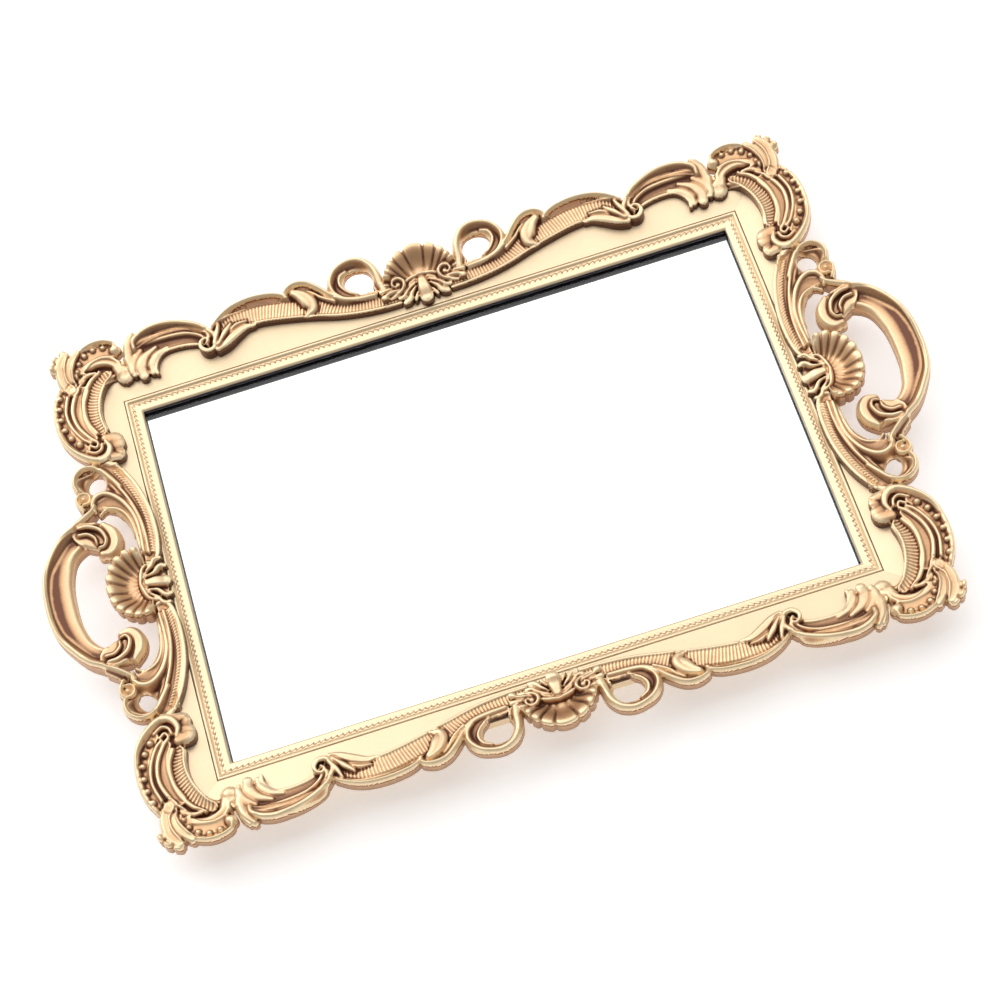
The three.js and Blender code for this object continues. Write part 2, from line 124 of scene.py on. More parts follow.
class Relief:
    """A carved surface on a fine grid: its height, and how far each point lies inside its outline.

    mirrored: the axis across which the drawing repeats. pull_in, spread, lower: how far fit moves it.
    """

    def __init__(self, low, high, mirrored="", pull_in=0.0, spread=0.0, lower=0.0):
        self.across = np.arange(low[0], high[0] + STEP, STEP)
        self.along = np.arange(low[1], high[1] + STEP, STEP)
        self.x, self.y = np.meshgrid(self.across, self.along, indexing="ij")
        self.u = np.abs(self.x) if mirrored == "x" else self.x
        self.v = np.abs(self.y) if mirrored == "y" else self.y
        self.height = np.full(self.x.shape, EMPTY)
        self.inside = np.full(self.x.shape, EMPTY)
        self.fine = np.zeros(self.x.shape)
        # Extra painted shade laid on by strokes and fans; negative values are painted light.
        self.extra_shading = np.zeros(self.x.shape)
        self.pull_in = pull_in
        self.spread = spread
        self.lower = lower

    def fit(self, points):
        """Drawn points with the tray's long edge pulled in and its short edge spread, to 0.1 mm.

        Strokes and grounds are fitted. Fans and openings stay where they are drawn, and so do single bosses.
        """
        fitted = []
        for x, y in points:
            wider = self.spread * ramp(x, 160, 7) if y < 108 else 0.0
            fitted.append((round(x + wider, 1), round(y - self.pull_in * ramp(y, 106, 16), 1)))
        return fitted

    def fit_crest(self, crest):
        """Drawn crest heights with the tall ones lowered, to 0.1 mm."""
        if isinstance(crest, list):
            return [round(z - self.lower * ramp(z, 20.5, 4.5), 1) for z in crest]
        return crest

    def near(self, curve, margin):
        """For the grid points near a curve: which they are, the nearest sample, and their place beside it."""
        low = curve[:, :2].min(0) - margin
        high = curve[:, :2].max(0) + margin
        close = (self.u > low[0]) & (self.u < high[0]) & (self.v > low[1]) & (self.v < high[1])
        pick = np.nonzero(close)
        points = np.stack([self.u[pick], self.v[pick]], 1).astype(np.float32)
        line = curve[:, :2].astype(np.float32)
        nearest = np.empty(len(points), int)
        for start in range(0, len(points), 20000):
            part = points[start:start + 20000]
            gap = (part[:, None, 0] - line[None, :, 0]) ** 2 + (part[:, None, 1] - line[None, :, 1]) ** 2
            nearest[start:start + 20000] = gap.argmin(1)
        tangent = np.gradient(curve[:, :2], axis=0)
        tangent /= np.linalg.norm(tangent, axis=1)[:, None] + 1e-9
        offset = points - curve[nearest, :2]
        ahead = (offset * tangent[nearest]).sum(1)
        left = tangent[nearest, 0] * offset[:, 1] - tangent[nearest, 1] * offset[:, 0]
        return pick, nearest, ahead, left

    def stroke(self, points, width, crest, section=ROUND, depth=1.0, ribs=None, over=False, draft=3.0,
               extra_shading=0.0, fitted=False):
        """Draws a bar of that half width and crest height along a curve through the points.

        ribs: pitch, depth and slant of fine ribs. over: it lies on what is drawn, in a groove of its own.
        draft: slope of its sides. Extra shading: painted shade laid on the stroke, painted light where
        negative, or a list of (place across, amount).
        fitted: its points and crest are already at their final places.
        """
        if not fitted:
            points = self.fit(points)
            crest = self.fit_crest(crest)
        rows = np.column_stack([points, spread_over(width, len(points)), spread_over(crest, len(points))])
        curve = smooth_curve(rows)
        pick, nearest, ahead, left = self.near(curve, float(np.max(width)) + 3.5)
        arc = np.concatenate([[0], np.cumsum(np.hypot(*np.diff(curve[:, :2], axis=0).T))])
        place = arc[nearest] + ahead
        half = np.interp(place, arc, curve[:, 2])
        top = np.interp(place, arc, curve[:, 3])
        beyond = np.maximum(0, np.maximum(-place, place - arc[-1]))
        away = np.hypot(left, beyond)
        share = np.sign(left) * away / half
        spots, levels = zip(*section)
        scale = depth * (half if section is ROUND else 1.0)
        level = top + scale * np.interp(np.clip(share, -1, 1), spots, levels)
        carving = np.zeros(len(place))
        if ribs:
            pitch, amount, slant = ribs
            wave = 0.5 + 0.5 * np.cos(2 * np.pi * (place + slant * left) / pitch)
            fade = np.clip((0.95 - np.abs(share)) / 0.25, 0, 1)
            carving = -amount * (wave - 0.4) * fade
        # Painted shade across the stroke, where it is given by place across.
        if isinstance(extra_shading, list):
            extra_shading = np.interp(np.clip(share, -1, 1), *zip(*extra_shading))
        outside = np.maximum(0, away - half)
        level = level - draft * outside
        if over:
            groove = np.exp(-((away - half - 0.3) / 0.35) ** 2)
            self.height[pick] -= 0.7 * groove * (self.height[pick] > EMPTY + 1)
            mask = np.clip((half + 0.15 - away) / 0.4, 0, 1)
            mask = mask * mask * (3 - 2 * mask)
            laid = self.height[pick] * (1 - mask) + level * mask
            self.height[pick] = np.where(mask > 0, laid, self.height[pick])
            self.fine[pick] = self.fine[pick] * (1 - mask) + carving * mask
            self.extra_shading[pick] = self.extra_shading[pick] * (1 - mask) + extra_shading * mask
        else:
            old = self.height[pick]
            near_equal = np.maximum(0, MELT - np.abs(old - level))
            self.height[pick] = np.maximum(old, level) + near_equal ** 2 / (4 * MELT)
            self.fine[pick] = np.where(level > old, carving, self.fine[pick])
            self.extra_shading[pick] = np.where(level > old, extra_shading, self.extra_shading[pick])
        self.inside[pick] = np.maximum(self.inside[pick], half - away)

    def dome(self, x, y, radius, top, drop=1.0):
        """A round boss; drop is how far its rim lies under its top, as a share of the radius."""
        reach = np.hypot(self.u - x, self.v - y)
        pick = np.nonzero(reach < radius + 1.2)
        reach = reach[pick]
        inner = np.clip(reach / radius, 0, 1)
        level = top - drop * radius * (1 - np.sqrt(1 - inner ** 2 * 0.98)) - 3 * np.maximum(0, reach - radius)
        groove = np.exp(-((reach - radius - 0.25) / 0.3) ** 2)
        self.height[pick] -= 0.5 * groove * (self.height[pick] > EMPTY + 1)
        self.fine[pick] = np.where(level > self.height[pick], 0, self.fine[pick])
        self.height[pick] = np.maximum(self.height[pick], level)
        self.inside[pick] = np.maximum(self.inside[pick], radius - reach)

    def ground(self, outline, rise=GROUND_RISE):
        """A low web inside a closed smooth outline, at that height over the field."""
        curve = smooth_curve(self.fit(outline), closed=True)
        pick, nearest, ahead, left = self.near(curve, 1.0)
        left = left * turning(curve)
        within = np.sign(left) * np.hypot(left, np.abs(ahead) * 0.2)
        level = np.where(within > -0.3, self.field()[pick] + rise, EMPTY)
        self.height[pick] = np.maximum(self.height[pick], level)
        self.inside[pick] = np.maximum(self.inside[pick], within)

    def fan(self, x, y, turn, valleys, reach, foot, rim, extra_shading=0.0):
        """A dish of lobes round a point, thin valleys between them, rising steeply to a scalloped lip.

        valleys: their angles from the middle line. reach: the rim's distance, from the middle to the ends.
        foot, rim: heights at the point and at the lip. Extra shading: painted shade up the lip, painted light
        at the point.
        """
        away = np.hypot(self.u - x, self.v - y)
        lean = np.abs(np.degrees(np.arctan2(self.v - y, self.u - x)) - turn)
        bounds = np.array([-valleys[0], *valleys])
        lobe = np.clip(np.searchsorted(valleys, lean), 0, len(valleys) - 1)
        middle = (bounds[lobe + 1] + bounds[lobe]) / 2
        half = (bounds[lobe + 1] - bounds[lobe]) / 2
        across = (lean - middle) / half
        beside = np.radians(half * (1 - np.abs(across))) * away
        radius = np.interp(lean, np.linspace(0, valleys[-1], len(reach)), reach) - 1.2 * across ** 4
        share = away / radius
        climb = np.clip((share - 0.4) / 0.55, 0, 1)
        level = foot + (rim - foot) * climb * climb * (3 - 2 * climb) + 0.9 * share * (1 - across ** 2)
        level -= 1.0 * np.exp(-(beside / 0.45) ** 2) * np.clip(2 * share - 0.4, 0, 1)
        level += 0.5 * np.exp(-((radius - away - 0.6) / 0.45) ** 2) - 3 * np.maximum(0, away - radius)
        within = np.minimum(radius - away, np.radians(valleys[-1] - lean) * away)
        shown = (within > -1.5) & (level > self.height)
        self.height = np.where(shown, level, self.height)
        # Painted shade up the lip, painted light at the point.
        self.extra_shading = np.where(shown, extra_shading * (1.6 * climb - 0.6), self.extra_shading)
        self.inside = np.maximum(self.inside, within)

    def hole(self, x, y, radius_x, radius_y, turn=0.0):
        """An oval opening right through, turned by that many degrees."""
        c, s = math.cos(math.radians(turn)), math.sin(math.radians(turn))
        dx, dy = self.u - x, self.v - y
        reach = np.hypot((c * dx + s * dy) / radius_x, (c * dy - s * dx) / radius_y)
        self.inside = np.minimum(self.inside, (reach - 1) * min(radius_x, radius_y))

    def cut(self, outline):
        """A closed smooth opening right through."""
        curve = smooth_curve(outline, closed=True)
        pick, nearest, ahead, left = self.near(curve, 2.5)
        self.inside[pick] = np.minimum(self.inside[pick], -left * turning(curve))

    def field(self):
        return field_height(self.u, self.v)

    def surface(self, underside):
        """Vertices, faces and painted shading of the finished closed piece, in millimetres."""
        base = self.field()
        solid = self.inside > 0
        height = np.where(self.inside > -1.2, np.maximum(self.height, base + 0.4), base)
        # The rim takes the height of what lies just inside it.
        inner = (self.inside > 0.3).astype(float)
        carried = blurred(height * inner, 1.3) / (blurred(inner, 1.3) + 1e-6)
        height = np.where((inner < 0.5) & (self.inside > -1.2), carried, height)
        height = np.where(self.inside > -1.2, blurred(height, 0.8), height) + self.fine
        # Painted shade: the paint is darker where the surface lies under its surroundings, on steep sides and
        # in carved lines, and painted light makes it paler on crests.
        shade = np.where(solid, height, base)
        slope = np.hypot(*np.gradient(shade, STEP))
        steep = np.where(self.inside > 0.7, np.clip(slope - 0.45, 0, 1.3), 0)
        painted_shading = (blurred(shade, 1.2) - shade) * 0.9 + (blurred(shade, 2.5) - shade) * 0.5
        painted_shading = painted_shading + (blurred(shade, 7.0) - shade) * 0.35 + blurred(self.extra_shading, 1.5)
        painted_shading = painted_shading + 0.55 * steep - 1.1 * self.fine - 0.1
        # The outline's edge is rounded, and its points are moved onto the outline.
        hangs = underside(self.u, self.v) < base
        bend = np.where(hangs, FREE_EDGE_BEND, EDGE_BEND)
        edge = np.clip(1 - self.inside / bend, 0, 1)
        height = height - bend * (1 - np.sqrt(1 - edge ** 2))
        low_x, low_y = np.gradient(self.inside, STEP)
        size = low_x ** 2 + low_y ** 2 + 0.05
        shift = np.where((self.inside < 0) & (self.inside > -2 * STEP), -self.inside, 0)
        x = self.x + np.clip(shift * low_x / size, -1.5 * STEP, 1.5 * STEP)
        y = self.y + np.clip(shift * low_y / size, -1.5 * STEP, 1.5 * STEP)
        # A top sheet, the same sheet below it, and walls between their rims.
        corners = [self.inside[:-1, :-1], self.inside[1:, :-1], self.inside[1:, 1:], self.inside[:-1, 1:]]
        cell = (np.max(corners, 0) > 0.02) & (np.min(corners, 0) > -1.6 * STEP)
        i, j = np.nonzero(cell)
        columns = self.x.shape[1]
        first = i * columns + j
        quads = np.stack([first, first + columns, first + columns + 1, first + 1], 1)
        used, quads = np.unique(quads, return_inverse=True)
        quads = quads.reshape(-1, 4)
        count = len(used)
        bottom_z = underside(self.u, self.v).ravel()[used]
        top = np.stack([x.ravel()[used], y.ravel()[used], height.ravel()[used]], 1)
        top[:, 2] = np.maximum(top[:, 2], bottom_z + 0.8)
        sides = np.concatenate([quads[:, [0, 1]], quads[:, [1, 2]], quads[:, [2, 3]], quads[:, [3, 0]]])
        keys = set(map(tuple, sides.tolist()))
        rim = np.array([e for e in keys if (e[1], e[0]) not in keys])
        rim_points = np.unique(rim)
        shelf = np.full(count, -1)
        shelf[rim_points] = np.arange(len(rim_points)) + 2 * count
        lip = top[rim_points] - [0, 0, 0.35]
        bottom = np.column_stack([top[:, :2], bottom_z])
        vertices = np.vstack([top, bottom, lip])
        a, b = rim[:, 0], rim[:, 1]
        upper = np.stack([a, shelf[a], shelf[b], b], 1)
        lower = np.stack([shelf[a], a + count, b + count, shelf[b]], 1)
        faces = np.vstack([quads, quads[:, ::-1] + count, upper, lower])
        # Painted shade down the walls: the lip under the top edge takes half of it, the bottom all of it,
        # less where the piece hangs past the field.
        wall = np.where(hangs.ravel()[used], 0.45, 1.2)
        dark = np.concatenate([painted_shading.ravel()[used], wall, 0.5 * wall[rim_points]])
        return vertices, faces, np.clip(dark, -1.2, 1.2)


def over_field(u, v):
    """Underside of an ornament: just over the field, and lower where it reaches past the field's edge."""
    long_edge = 111.6 + 3 * np.clip((u - 45) / 12, 0, 1)
    past = np.maximum(u - np.where(v > 62, 157.6, 149.1), v - long_edge) > 0
    return field_height(u, v) + np.where(past, -1.0, 0.25)


def make_piece(name, vertices, faces, material, dark=None, sides=(1, 1), smooth=True):
    """A mesh object in metres, mirrored by the signs in sides."""
    points = np.asarray(vertices, float) * [sides[0] * MM, sides[1] * MM, MM]
    faces = np.asarray(faces)
    if sides[0] * sides[1] < 0:
        faces = faces[:, ::-1]
    mesh = bpy.data.meshes.new(name)
    mesh.vertices.add(len(points))
    mesh.vertices.foreach_set("co", points.ravel())
    corners = faces.shape[1]
    mesh.loops.add(faces.size)
    mesh.loops.foreach_set("vertex_index", faces.ravel())
    mesh.polygons.add(len(faces))
    mesh.polygons.foreach_set("loop_start", np.arange(0, faces.size, corners))
    mesh.polygons.foreach_set("use_smooth", np.full(len(faces), smooth))
    mesh.update(calc_edges=True)
    mesh.validate()
    if dark is not None:
        # The painted shade and light of each point, read by the gilt material.
        layer = mesh.attributes.new("painted_shading", "FLOAT", "POINT")
        layer.data.foreach_set("value", np.asarray(dark, np.float32))
    mesh.materials.append(material)
    piece = bpy.data.objects.new(name, mesh)
    bpy.context.collection.objects.link(piece)
    return piece


def stand_in(piece, slot, *nodes):
    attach(piece, "root")
    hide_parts(*nodes)
    return piece


# ---- materials ----
def new_material(name):
    material = bpy.data.materials.new(name)
    material.use_nodes = True
    nodes = material.node_tree.nodes
    return material, nodes, material.node_tree.links, nodes["Principled BSDF"]


def colour_ramp(nodes, stops):
    ramp = nodes.new("ShaderNodeValToRGB")
    elements = ramp.color_ramp.elements
    while len(elements) < len(stops):
        elements.new(0.5)
    for element, (place, colour) in zip(elements, stops):
        element.position = place
        element.color = (*colour, 1)
    return ramp


def noise(nodes, links, scale, detail=3.0):
    place = nodes.new("ShaderNodeTexCoord")
    texture = nodes.new("ShaderNodeTexNoise")
    texture.inputs["Scale"].default_value = scale
    texture.inputs["Detail"].default_value = detail
    links.new(place.outputs["Object"], texture.inputs["Vector"])
    return texture


def maths(nodes, links, kind, a, b, limit=False):
    node = nodes.new("ShaderNodeMath")
    node.operation = kind
    node.use_clamp = limit
    for socket, value in zip(node.inputs, (a, b)):
        if isinstance(value, (int, float)):
            socket.default_value = value
        else:
            links.new(value, socket)
    return node.outputs[0]


def gilt_material(name, light, middle, deep, carved=True):
    """Champagne-gold paint with the fine mottling of sprayed paint; on carved pieces it takes painted shade
    in the hollows and painted light on crests.
    """
    material, nodes, links, shader = new_material(name)
    mottle = noise(nodes, links, 900, 4)
    cloud = noise(nodes, links, 60, 3)
    if carved:
        # Painted shade and light, read from the mesh attribute.
        painted_shading = nodes.new("ShaderNodeAttribute")
        painted_shading.attribute_name = "painted_shading"
        shade = maths(nodes, links, "MULTIPLY_ADD", painted_shading.outputs["Fac"], 0.62)
        shade.node.inputs[2].default_value = 0.32
    else:
        shade = maths(nodes, links, "MULTIPLY", cloud.outputs["Fac"], 0.25)
    fine = maths(nodes, links, "MULTIPLY_ADD", mottle.outputs["Fac"], 0.16)
    fine.node.inputs[2].default_value = -0.08
    soft = maths(nodes, links, "MULTIPLY_ADD", cloud.outputs["Fac"], 0.16)
    soft.node.inputs[2].default_value = -0.08
    mixed = maths(nodes, links, "ADD", maths(nodes, links, "ADD", shade, fine), soft, True)
    # From lit gold through a half-shaded tone to deep painted shade; on plain pieces the same stops are
    # random tone.
    ramp = colour_ramp(nodes, [(0.0, light), (0.38, middle), (0.85, deep)])
    links.new(mixed, ramp.inputs["Fac"])
    links.new(ramp.outputs["Color"], shader.inputs["Base Color"])
    rough = maths(nodes, links, "MULTIPLY_ADD", mottle.outputs["Fac"], 0.14)
    rough.node.inputs[2].default_value = 0.33
    links.new(rough, shader.inputs["Roughness"])
    shader.inputs["Metallic"].default_value = 0.7
    shader.inputs["Specular IOR Level"].default_value = 0.5
    bump = nodes.new("ShaderNodeBump")
    bump.inputs["Strength"].default_value = 0.12
    bump.inputs["Distance"].default_value = 0.0002
    links.new(mottle.outputs["Fac"], bump.inputs["Height"])
    links.new(bump.outputs["Normal"], shader.inputs["Normal"])
    return material


def plain_material(name, colour, dark_colour, roughness, metallic=0.0, scale=300, bump_size=0.0001):
    """One colour that wanders a little, with a fine surface grain."""
    material, nodes, links, shader = new_material(name)
    grain = noise(nodes, links, scale, 5)
    ramp = colour_ramp(nodes, [(0.3, dark_colour), (0.7, colour)])
    links.new(grain.outputs["Fac"], ramp.inputs["Fac"])
    links.new(ramp.outputs["Color"], shader.inputs["Base Color"])
    shader.inputs["Metallic"].default_value = metallic
    rough = maths(nodes, links, "MULTIPLY_ADD", grain.outputs["Fac"], 0.2)
    rough.node.inputs[2].default_value = roughness - 0.1
    links.new(rough, shader.inputs["Roughness"])
    bump = nodes.new("ShaderNodeBump")
    bump.inputs["Strength"].default_value = 0.3
    bump.inputs["Distance"].default_value = bump_size
    links.new(grain.outputs["Fac"], bump.inputs["Height"])
    links.new(bump.outputs["Normal"], shader.inputs["Normal"])
    return material


def mirror_material():
    """Silvered glass with faint unevenness in its polish."""
    material, nodes, links, shader = new_material("silvering")
    haze = noise(nodes, links, 25, 2)
    ramp = colour_ramp(nodes, [(0.3, (0.90, 0.92, 0.93)), (0.7, (0.93, 0.945, 0.95))])
    links.new(haze.outputs["Fac"], ramp.inputs["Fac"])
    links.new(ramp.outputs["Color"], shader.inputs["Base Color"])
    shader.inputs["Metallic"].default_value = 1.0
    shader.inputs["Roughness"].default_value = 0.015
    return material


def glass_material():
    material, nodes, links, shader = new_material("clear_glass")
    haze = noise(nodes, links, 40, 2)
    ramp = colour_ramp(nodes, [(0.3, (0.97, 0.99, 0.98)), (0.7, (0.99, 1.0, 0.995))])
    links.new(haze.outputs["Fac"], ramp.inputs["Fac"])
    links.new(ramp.outputs["Color"], shader.inputs["Base Color"])
    shader.inputs["Roughness"].default_value = 0.0
    shader.inputs["IOR"].default_value = 1.5
    shader.inputs["Transmission Weight"].default_value = 1.0
    return material


# Gilt tones: lit gold, half-shaded, and deep painted shade; the sight's darkest tone is near black, for its
# inner wall; the smooth field's stops are random tone.
GILT = gilt_material("gilt_carved", (0.95, 0.75, 0.48), (0.74, 0.44, 0.23), (0.16, 0.066, 0.04))
GILT_SIGHT = gilt_material("gilt_sight", (0.95, 0.77, 0.51), (0.66, 0.42, 0.23), (0.085, 0.075, 0.09))
GILT_FIELD = gilt_material("gilt_smooth", (0.94, 0.75, 0.5), (0.87, 0.67, 0.43), (0.6, 0.42, 0.26),
                           carved=False)
SILVER = mirror_material()
GLASS = glass_material()
FOAM = plain_material("white_foam", (0.9, 0.89, 0.85), (0.78, 0.77, 0.73), 0.9, scale=900)
HARDBOARD = plain_material("brown_hardboard", (0.30, 0.19, 0.11), (0.20, 0.12, 0.07), 0.7, scale=500)
ZINC = plain_material("zinc_plate", (0.78, 0.79, 0.8), (0.6, 0.61, 0.63), 0.3, 1.0, 700)
RUBBER = plain_material("black_rubber", (0.035, 0.035, 0.037), (0.02, 0.02, 0.021), 0.75, scale=1200)


# ---- garland: the long-side ornament between the middle shell and the corner ----
def garland():
    r = Relief((9.5, 95.5), (138.5, 129.5), pull_in=1.5, lower=1.1)
    r.ground([(13, 102), (25, 103), (38, 106), (50, 109), (62, 112), (74, 113), (84, 111), (96, 106),
              (104, 112), (114, 115), (121, 112.5), (124.5, 106), (133, 106), (136, 114), (134, 123),
              (124, 125), (110, 123), (100, 117), (90, 119), (78, 122), (64, 121), (52, 122), (42, 114),
              (30, 108), (18, 106)])
    # the ribbed band and the fillet under it
    ribbed = [(13, 103.4), (20, 103.9), (30, 104.7), (38, 106.8), (45, 110.3), (52, 112.8), (60, 114.3),
              (67, 116.2), (75, 117.4), (84, 116.8), (92, 114.5), (96, 112)]
    r.stroke(ribbed, [2.6, 2.9, 2.7, 3.2, 4.8, 5.2, 4.5, 4.8, 4.8, 4.9, 4.3, 3],
             [17.5, 18, 18.3, 18.8, 19.5, 20, 20.3, 20.8, 21, 20.9, 20.4, 20], BAND,
             ribs=(1.45, 0.36, 0.1))
    r.stroke([(12, 100.8), (20, 101), (30, 102), (40, 104), (50, 107), (60, 109.8), (70, 112),
              (77, 112.7)], 0.8, [17.9, 18.4, 19, 19.8, 20.2])
    # the low wave over the band
    r.stroke([(60, 120.5), (63, 122.8), (68, 124.3), (76, 125), (84, 124), (90, 121.4), (95, 117.6)],
             [0.9, 1.1, 1.2, 1.2, 1.2, 1.1, 0.9], [24, 25, 25.6, 25.9, 25.6, 25, 24], draft=1.35)
    # the open loop beside the shell: its hollow, its outer ring and a lip inside
    loop = [(19.4, 110.9), (20.2, 118), (20.8, 123), (24, 126), (30, 126.6), (35.5, 124), (37.8, 118.5),
            (35.5, 113), (30, 109.6), (22, 108.6)]
    # Painted shade in the loop's hollow.
    r.stroke(loop, [2.2, 2.0, 2.2, 2.6, 2.8, 3.4, 3.8, 3.4, 2.2, 1.6],
             [19.6, 20, 20.8, 21.4, 21.8, 21.6, 21.2, 20.6, 20, 19.6],
             [(-1, 0.4), (-0.5, -0.6), (0, -0.4), (0.6, -0.2), (1, 0.2)],
             extra_shading=[(-1, 0.0), (-0.2, 0.3), (0.4, 0.9), (1, 0.8)])
    r.stroke([(17.6, 107.5), (18, 112), (18.6, 117), (19.6, 122), (22.5, 126.3), (27, 128.4),
              (32, 127.9), (36.8, 125.2), (39.8, 120.2), (39.3, 114.7), (36, 110.7)],
             [1.6, 2.0, 2.0, 1.9, 1.6, 1.3, 1.2, 1.1, 1.0, 0.9, 0.8],
             [20.4, 22, 24, 25, 25.8, 26.2, 26.2, 25.8, 25, 23.5, 22], draft=1.5)
    r.stroke([(31.5, 124), (34.5, 122.5), (35.5, 118.5), (33.5, 114.5), (29.5, 111)], 0.9,
             [23.4, 23.4, 22.8, 22, 21])
    # the wave that climbs from the loop, with a line inside it
    r.stroke([(22, 107.8), (30, 108.5), (36, 110.3), (41, 114.6), (45.3, 120), (49.8, 124), (54.7, 125.1),
              (59.3, 123.5), (60.4, 120.8)], [1.0, 1.2, 1.3, 1.4, 1.5, 1.5, 1.5, 1.3, 1.0],
             [20.2, 20.8, 22.2, 23.7, 25, 25.7, 26.1, 25.6, 24.2], draft=1.5)
    r.stroke([(40, 110.5), (44.5, 114.5), (48, 118.5), (50.5, 121)], [0.6, 0.9, 0.9, 0.6],
             [21.5, 22.3, 23, 23.5])
    r.hole(26.5, 116.2, 5.5, 6.0, 10)
    # the leaf that hangs from that wave, and four that spring from the outer scroll
    leaf = [(-1, -1.2), (-0.5, -0.2), (-0.08, -0.25), (0, -0.6), (0.08, -0.25), (0.5, -0.2), (1, -1.2)]
    r.stroke([(56.5, 121.4), (53.5, 118.8), (51, 114.5), (50.8, 110.8), (53, 108.6)],
             [2.0, 3.0, 3.6, 3.0, 1.2], [25, 24.4, 23.2, 21.6, 20], leaf, over=True)
    r.stroke([(80, 115), (85, 114.2), (90, 111), (94, 107.5)], [0.6, 1.6, 1.8, 1.3], [21.4, 22, 22, 21.4],
             over=True)
    r.stroke([(77, 112), (81, 112.3), (86, 110), (91, 106.8), (95, 105)], [0.8, 1.7, 2.2, 2.1, 1.5],
             [20.5, 21.2, 21.6, 21.4, 21], leaf, over=True)
    r.stroke([(87, 116), (90.5, 112), (94.5, 107)], [0.8, 1.5, 1.1], [22, 22.6, 22], over=True)
    r.stroke([(92.3, 117.5), (94, 112.5), (96.3, 107.6)], [0.8, 1.4, 1.0], [22.8, 23.2, 22.2], over=True)
    # the outer scroll: its two hollows, the crest over them and its eye
    # Painted shade in this hollow.
    r.stroke([(99.5, 117.5), (102.5, 121.3), (110, 123.6), (118, 124.2), (125.5, 123), (130, 120.3)],
             [1.6, 2.4, 3.0, 3.2, 3.0, 2.2], [21.8, 22.4, 22.7, 22.8, 22.6, 22.2], COVE, extra_shading=0.85)
    # Painted shade along this lower band.
    r.stroke([(101, 111.5), (105, 114.3), (111, 116), (118, 116.6), (125, 116), (131, 114.6),
              (135.5, 113)], [1.5, 2.6, 3.0, 3.2, 3.4, 3.4, 3.0], [18.8, 19, 19.2, 19.3, 19.3, 19.4, 19.2],
             [(-1, 0.3), (-0.7, 0.1), (0, -0.1), (0.5, 0.5), (1, 1.6)], extra_shading=0.5)
    r.stroke([(96, 113.5), (99, 118.4), (104, 122), (110, 124.6), (116, 126), (122, 126.2), (127.3, 124.6),
              (130.8, 121.4), (131.2, 118)], [1.1, 1.2, 1.2, 1.3, 1.3, 1.3, 1.3, 1.1, 0.9],
             [23.2, 24.4, 25.3, 26, 26.4, 26.4, 26.2, 25.5, 24.2], draft=1.35)
    r.stroke([(99.4, 109.1), (98.4, 110.6), (99.8, 112), (101.9, 110.8), (102.3, 107.8), (100.1, 105.3),
              (96.8, 105.8), (95.2, 109.5), (96, 114), (99, 118.6)],
             [0.6, 0.7, 0.8, 0.9, 1, 1.1, 1.1, 1.1, 1.2, 1.2],
             [22.6, 22.5, 22.4, 22.3, 22, 21.6, 21.6, 22.2, 23.2, 24.4])
    # lines along the hollows
    r.stroke([(97.8, 112), (98.5, 115), (101.3, 118.2), (106, 120.8), (112, 122.1), (120, 122.3),
              (127, 121.3), (131, 119.3)], 0.85, [22.3, 22.8, 23.1, 23.2, 23.2, 22.9])
    r.stroke([(99.8, 112.8), (102.3, 115.8), (106.8, 118.4), (113, 119.6), (121, 119.9), (129, 119.2)],
             0.8, [21.6, 22, 22.2, 22.2, 21.8])
    r.stroke([(102.5, 111.5), (108, 113.2), (115, 113.7), (119.5, 112.8), (122.6, 109.8), (124.2, 105.8),
              (124, 103.3)], 0.85, [19.4, 19.7, 19.8, 19.7, 19.3, 19, 18.6])
    # three fingers that hang over the field
    r.stroke([(117, 115.2), (122, 112.8), (125.2, 108.8), (125.8, 104.6)], [1, 1.7, 2.0, 1.5],
             [20, 20.2, 19.8, 18.8], LOBE)
    r.stroke([(122, 116.6), (127.5, 113.2), (130.2, 108.5), (130, 104)], [1.2, 2.2, 2.8, 2.2],
             [20.8, 21, 20.4, 19.2], LOBE)
    r.stroke([(129, 117), (133, 112.5), (134.3, 108), (133.8, 105.4)], [1.5, 2, 1.8, 1.2],
             [21.4, 21.1, 20.4, 19.6], LOBE)
    # the fold over the outer end
    r.stroke([(130.6, 126), (133.6, 121.5), (134.8, 116), (134.3, 110.5)], [1.5, 2.2, 2.4, 2.2],
             [24.8, 23.8, 22.2, 20.6], LOBE)
    r.stroke([(132.6, 126), (135, 122), (135.8, 117.5)], [0.8, 1.1, 0.8], [24.4, 23.4, 22], LOBE)
    return r


